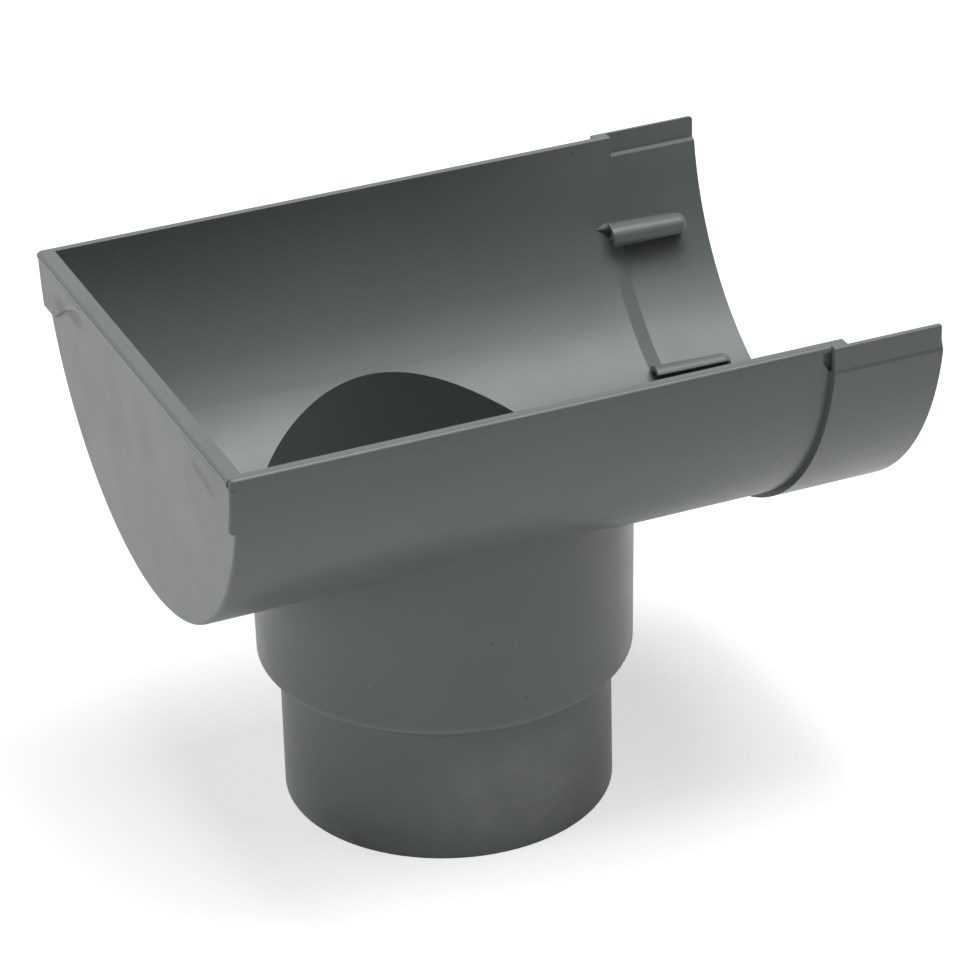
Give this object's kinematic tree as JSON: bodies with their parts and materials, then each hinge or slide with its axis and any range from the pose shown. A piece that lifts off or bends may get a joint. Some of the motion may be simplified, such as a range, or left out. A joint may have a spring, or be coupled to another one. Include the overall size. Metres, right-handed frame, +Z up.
{
  "type": "gutter stop end outlet",
  "caption": "Half-round gutter stop end outlet: a short trough closed at one end, with a stepped socket at the other and a two-diameter spout below.",
  "frame": {"origin": "centre of the spigot's lower end face", "axes": "+Z up along the spigot, +X out of the gutter socket, away from the closed end, Y across the gutter"},
  "size_m": [0.1741, 0.1322, 0.1297],
  "materials": {
    "grey_plastic": "satin"
  },
  "bodies": {
    "root": {"gutter_end_outlet": "grey_plastic"}
  },
  "joints": []
}
